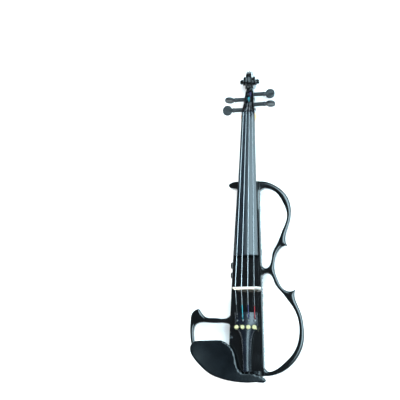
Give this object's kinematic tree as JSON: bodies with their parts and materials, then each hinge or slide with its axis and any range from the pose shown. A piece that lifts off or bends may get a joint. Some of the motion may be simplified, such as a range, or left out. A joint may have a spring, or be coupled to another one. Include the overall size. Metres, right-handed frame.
{
  "type": "electric violin",
  "caption": "Silent electric violin with a slim solid core, an open treble side frame, a short bass arm, chin rest, tailpiece with fine tuners, and friction pegs.",
  "frame": {"origin": "on the outer face of the back cover, straight below the middle of the bridge", "axes": "+X to the treble side, +Y towards the scroll, +Z out of the top; the violin lies on its back"},
  "size_m": [0.2064, 0.5813, 0.0705],
  "materials": {
    "black_lacquer": "deep polished polyurethane lacquer",
    "maple_neck": "black lacquered head, satin maple neck",
    "ebony": "oiled ebony",
    "bridge_maple": "bare maple",
    "black_moulding": "satin moulded composite",
    "tuner_metal": "gold plated, knurled",
    "string_steel": "flat wound steel",
    "silk_wrap": "coloured silk winding",
    "nylon_gut": "black nylon",
    "cork": "pressed cork sheet",
    "nickel_plate": "bright nickel",
    "cover_plastic": "fine moulded texture",
    "screw_steel": "zinc plated steel",
    "control_plastic": "moulded, fine spark texture",
    "battery_case": "plain printed steel jacket without text",
    "circuit_board": "green solder mask",
    "components": "moulded component bodies",
    "cable_jacket": "soft flexible jacket",
    "pickup_metal": "thin metal case",
    "dowel_wood": "turned beech",
    "indicator": "clear lens in a metal bezel"
  },
  "bodies": {
    "instrument": {"body_core": "black_lacquer", "right_frame": "black_lacquer", "left_frame": "black_lacquer", "neck": "maple_neck", "fingerboard": "ebony", "nut": "ebony", "end_saddle": "ebony", "end_pin": "ebony", "bridge": "bridge_maple", "tailpiece": "black_moulding", "chin_rest": "black_moulding", "tuner_pivot": "tuner_metal", "string_g": "string_steel", "string_d": "string_steel", "string_a": "string_steel", "string_e": "string_steel", "tailgut": "nylon_gut", "clamp_corks": "cork", "clamp_bracket": "nickel_plate", "clamp_rods": "nickel_plate", "line_out_socket": "nickel_plate", "headphone_socket": "nickel_plate", "back_cover": "cover_plastic", "control_panel": "cover_plastic", "body_screws": "screw_steel", "door_hinge_pin": "screw_steel", "control_pots": "screw_steel", "board_standoffs": "screw_steel", "switch_housing": "control_plastic", "battery_clip": "control_plastic", "battery": "battery_case", "preamp_board": "circuit_board", "board_components": "components", "piezo_cable": "cable_jacket", "battery_lead": "cable_jacket", "piezo_pickup": "pickup_metal", "frame_dowels": "dowel_wood", "power_light": "indicator"},
    "peg_g": {"peg_g": "ebony", "winding_g": "silk_wrap"},
    "tuner_knob_g": {"tuner_knob_g": "tuner_metal"},
    "tuner_lever_g": {"tuner_lever_g": "tuner_metal"},
    "peg_d": {"peg_d": "ebony", "winding_d": "silk_wrap"},
    "tuner_knob_d": {"tuner_knob_d": "tuner_metal"},
    "tuner_lever_d": {"tuner_lever_d": "tuner_metal"},
    "peg_a": {"peg_a": "ebony", "winding_a": "silk_wrap"},
    "tuner_knob_a": {"tuner_knob_a": "tuner_metal"},
    "tuner_lever_a": {"tuner_lever_a": "tuner_metal"},
    "peg_e": {"peg_e": "ebony", "winding_e": "silk_wrap"},
    "tuner_knob_e": {"tuner_knob_e": "tuner_metal"},
    "tuner_lever_e": {"tuner_lever_e": "tuner_metal"},
    "volume_knob": {"volume_knob": "control_plastic"},
    "tone_knob": {"tone_knob": "control_plastic"},
    "switch_slider": {"switch_slider": "control_plastic"},
    "battery_door": {"battery_door": "cover_plastic"},
    "clamp_barrel_bass": {"clamp_barrel_bass": "nickel_plate"},
    "clamp_barrel_treble": {"clamp_barrel_treble": "nickel_plate"}
  },
  "joints": [
    {"name": "peg_g_turn", "type": "hinge", "parent": "instrument", "child": "peg_g", "pos_m": [0, 0.337, 0.02676], "axis": [1, 0, 0], "continuous": true},
    {"name": "peg_d_turn", "type": "hinge", "parent": "instrument", "child": "peg_d", "pos_m": [0, 0.359, 0.02026], "axis": [1, 0, 0], "continuous": true},
    {"name": "peg_a_turn", "type": "hinge", "parent": "instrument", "child": "peg_a", "pos_m": [0, 0.3695, 0.01726], "axis": [1, 0, 0], "continuous": true},
    {"name": "peg_e_turn", "type": "hinge", "parent": "instrument", "child": "peg_e", "pos_m": [0, 0.348, 0.02276], "axis": [1, 0, 0], "continuous": true},
    {"name": "tuner_g_turn", "type": "hinge", "parent": "instrument", "child": "tuner_knob_g", "pos_m": [-0.0158, -0.0705, 0.05], "axis": [0, 0, 1], "range_deg": [-1080, 1080]},
    {"name": "tuner_g_lever", "type": "hinge", "parent": "instrument", "child": "tuner_lever_g", "pos_m": [-0.0158, -0.063, 0.0432], "axis": [1, 0, 0], "range_deg": [-4, 4]},
    {"name": "tuner_d_turn", "type": "hinge", "parent": "instrument", "child": "tuner_knob_d", "pos_m": [-0.00527, -0.0705, 0.05], "axis": [0, 0, 1], "range_deg": [-1080, 1080]},
    {"name": "tuner_d_lever", "type": "hinge", "parent": "instrument", "child": "tuner_lever_d", "pos_m": [-0.00527, -0.063, 0.0432], "axis": [1, 0, 0], "range_deg": [-4, 4]},
    {"name": "tuner_a_turn", "type": "hinge", "parent": "instrument", "child": "tuner_knob_a", "pos_m": [0.00527, -0.0705, 0.05], "axis": [0, 0, 1], "range_deg": [-1080, 1080]},
    {"name": "tuner_a_lever", "type": "hinge", "parent": "instrument", "child": "tuner_lever_a", "pos_m": [0.00527, -0.063, 0.0432], "axis": [1, 0, 0], "range_deg": [-4, 4]},
    {"name": "tuner_e_turn", "type": "hinge", "parent": "instrument", "child": "tuner_knob_e", "pos_m": [0.0158, -0.0705, 0.05], "axis": [0, 0, 1], "range_deg": [-1080, 1080]},
    {"name": "tuner_e_lever", "type": "hinge", "parent": "instrument", "child": "tuner_lever_e", "pos_m": [0.0158, -0.063, 0.0432], "axis": [1, 0, 0], "range_deg": [-4, 4]},
    {"name": "volume_turn", "type": "hinge", "parent": "instrument", "child": "volume_knob", "pos_m": [-0.03, 0.045, 0.0125], "axis": [-1, 0, 0], "range_deg": [-150, 150]},
    {"name": "tone_turn", "type": "hinge", "parent": "instrument", "child": "tone_knob", "pos_m": [-0.03, 0.027, 0.0125], "axis": [-1, 0, 0], "range_deg": [-150, 150]},
    {"name": "power_slide", "type": "slide", "parent": "instrument", "child": "switch_slider", "axis": [0, 1, 0], "range_m": [-0.002, 0.002]},
    {"name": "battery_door_hinge", "type": "hinge", "parent": "instrument", "child": "battery_door", "pos_m": [0, -0.06325, 0.00125], "axis": [1, 0, 0], "range_deg": [0, 105]},
    {"name": "clamp_bass_turn", "type": "hinge", "parent": "instrument", "child": "clamp_barrel_bass", "pos_m": [-0.017, -0.1606, 0.025], "axis": [0, 0, 1], "continuous": true},
    {"name": "clamp_treble_turn", "type": "hinge", "parent": "instrument", "child": "clamp_barrel_treble", "pos_m": [0.017, -0.1606, 0.025], "axis": [0, 0, 1], "continuous": true}
  ],
  "couplings": [
    {"joint": "tuner_g_lever", "follows": "tuner_g_turn", "ratio": -0.0037037},
    {"joint": "tuner_d_lever", "follows": "tuner_d_turn", "ratio": -0.0037037},
    {"joint": "tuner_a_lever", "follows": "tuner_a_turn", "ratio": -0.0037037},
    {"joint": "tuner_e_lever", "follows": "tuner_e_turn", "ratio": -0.0037037}
  ]
}
